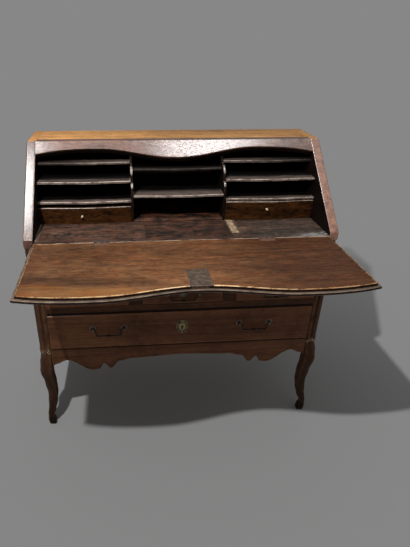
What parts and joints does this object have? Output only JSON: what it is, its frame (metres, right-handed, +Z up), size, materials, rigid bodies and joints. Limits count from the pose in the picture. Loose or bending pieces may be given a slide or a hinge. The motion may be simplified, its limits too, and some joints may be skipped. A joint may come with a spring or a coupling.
{
  "type": "slant-front desk",
  "caption": "Provincial walnut slant-front desk on cabriole legs, with a serpentine fall open on its lopers, a fitted gallery, inner drawers and front drawers.",
  "frame": {"origin": "on the floor, under the centre of the box round the desk with its fall open", "axes": "+Z up, +X to the right as seen from the front, the front and the open fall face -Y"},
  "size_m": [1.053, 0.854, 1.026],
  "materials": {
    "walnut": "satin",
    "fall_walnut": "satin",
    "inner_walnut": "matte",
    "oak": "matte",
    "brass": "satin",
    "iron": "satin",
    "bone": "satin"
  },
  "bodies": {
    "desk_case": {"top_board": "walnut", "left_gable": "walnut", "right_gable": "walnut", "left_side_panel": "walnut", "right_side_panel": "walnut", "left_front_leg": "walnut", "right_front_leg": "walnut", "left_rear_leg": "walnut", "right_rear_leg": "walnut", "back_boards": "oak", "slope_rail": "walnut", "frieze_board": "walnut", "small_drawer_rail": "walnut", "middle_rail": "walnut", "front_apron": "walnut", "drawer_uprights": "walnut", "dust_board": "oak", "drawer_runners": "oak", "loper_guides": "oak", "writing_floor": "inner_walnut", "well_box": "oak", "gallery_dividers": "inner_walnut", "left_shelves": "inner_walnut", "centre_shelves": "inner_walnut", "right_shelves": "inner_walnut", "hinge_frame_leaves": "iron", "hinge_pins": "iron", "joint_pegs": "walnut"},
    "fall": {"fall_board": "fall_walnut", "hinge_fall_leaves": "iron", "fall_lock": "iron", "fall_escutcheon": "brass"},
    "fall_bolt": {"fall_lock_bolt": "iron"},
    "left_loper": {"left_loper": "walnut"},
    "right_loper": {"right_loper": "walnut"},
    "well_cover": {"well_cover": "inner_walnut"},
    "long_drawer": {"long_drawer_front": "walnut", "long_drawer_box": "oak", "long_drawer_handle_posts": "brass", "long_drawer_escutcheon": "brass", "long_drawer_lock": "iron"},
    "long_drawer_bolt": {"long_drawer_bolt": "iron"},
    "long_drawer_left_bail": {"long_drawer_left_bail": "brass"},
    "long_drawer_right_bail": {"long_drawer_right_bail": "brass"},
    "left_inner_drawer": {"left_inner_drawer": "walnut", "left_inner_knob": "bone"},
    "right_inner_drawer": {"right_inner_drawer": "walnut", "right_inner_knob": "bone"},
    "left_small_drawer": {"left_small_drawer_front": "walnut", "left_small_drawer_box": "oak", "left_small_drawer_hardware": "brass"},
    "left_small_drawer_bail": {"left_small_drawer_bail": "brass"},
    "centre_small_drawer": {"centre_small_drawer_front": "walnut", "centre_small_drawer_box": "oak", "centre_small_drawer_hardware": "brass"},
    "centre_small_drawer_bail": {"centre_small_drawer_bail": "brass"},
    "right_small_drawer": {"right_small_drawer_front": "walnut", "right_small_drawer_box": "oak", "right_small_drawer_hardware": "brass"},
    "right_small_drawer_bail": {"right_small_drawer_bail": "brass"}
  },
  "joints": [
    {"name": "fall_hinge", "type": "hinge", "parent": "desk_case", "child": "fall", "pos_m": [0, -0.06101, 0.77], "axis": [1, 0, 0], "range_deg": [-140.5, 0]},
    {"name": "fall_bolt_slide", "type": "slide", "parent": "fall", "child": "fall_bolt", "axis": [0, -1, 0], "range_m": [0, 0.009]},
    {"name": "left_loper_slide", "type": "slide", "parent": "desk_case", "child": "left_loper", "axis": [0, -1, 0], "range_m": [-0.23, 0]},
    {"name": "right_loper_slide", "type": "slide", "parent": "desk_case", "child": "right_loper", "axis": [0, -1, 0], "range_m": [-0.23, 0]},
    {"name": "well_cover_slide", "type": "slide", "parent": "desk_case", "child": "well_cover", "axis": [0, 1, 0], "range_m": [0, 0.15]},
    {"name": "long_drawer_slide", "type": "slide", "parent": "desk_case", "child": "long_drawer", "axis": [0, -1, 0], "range_m": [0, 0.32]},
    {"name": "long_drawer_bolt_slide", "type": "slide", "parent": "long_drawer", "child": "long_drawer_bolt", "axis": [0, 0, 1], "range_m": [0, 0.008]},
    {"name": "long_drawer_left_bail_swing", "type": "hinge", "parent": "long_drawer", "child": "long_drawer_left_bail", "pos_m": [-0.265, -0.07101, 0.441], "axis": [-1, 0, 0], "range_deg": [0, 85]},
    {"name": "long_drawer_right_bail_swing", "type": "hinge", "parent": "long_drawer", "child": "long_drawer_right_bail", "pos_m": [0.265, -0.07101, 0.441], "axis": [-1, 0, 0], "range_deg": [0, 85]},
    {"name": "left_small_drawer_slide", "type": "slide", "parent": "desk_case", "child": "left_small_drawer", "axis": [0, -1, 0], "range_m": [0, 0.32]},
    {"name": "left_small_drawer_bail_swing", "type": "hinge", "parent": "left_small_drawer", "child": "left_small_drawer_bail", "pos_m": [-0.33275, -0.06951, 0.573], "axis": [-1, 0, 0], "range_deg": [0, 85]},
    {"name": "centre_small_drawer_slide", "type": "slide", "parent": "desk_case", "child": "centre_small_drawer", "axis": [0, -1, 0], "range_m": [0, 0.32]},
    {"name": "centre_small_drawer_bail_swing", "type": "hinge", "parent": "centre_small_drawer", "child": "centre_small_drawer_bail", "pos_m": [0, -0.06951, 0.573], "axis": [-1, 0, 0], "range_deg": [0, 85]},
    {"name": "right_small_drawer_slide", "type": "slide", "parent": "desk_case", "child": "right_small_drawer", "axis": [0, -1, 0], "range_m": [0, 0.32]},
    {"name": "right_small_drawer_bail_swing", "type": "hinge", "parent": "right_small_drawer", "child": "right_small_drawer_bail", "pos_m": [0.33275, -0.06951, 0.573], "axis": [-1, 0, 0], "range_deg": [0, 85]},
    {"name": "left_inner_drawer_slide", "type": "slide", "parent": "desk_case", "child": "left_inner_drawer", "axis": [0, -1, 0], "range_m": [0, 0.16]},
    {"name": "right_inner_drawer_slide", "type": "slide", "parent": "desk_case", "child": "right_inner_drawer", "axis": [0, -1, 0], "range_m": [0, 0.16]}
  ]
}
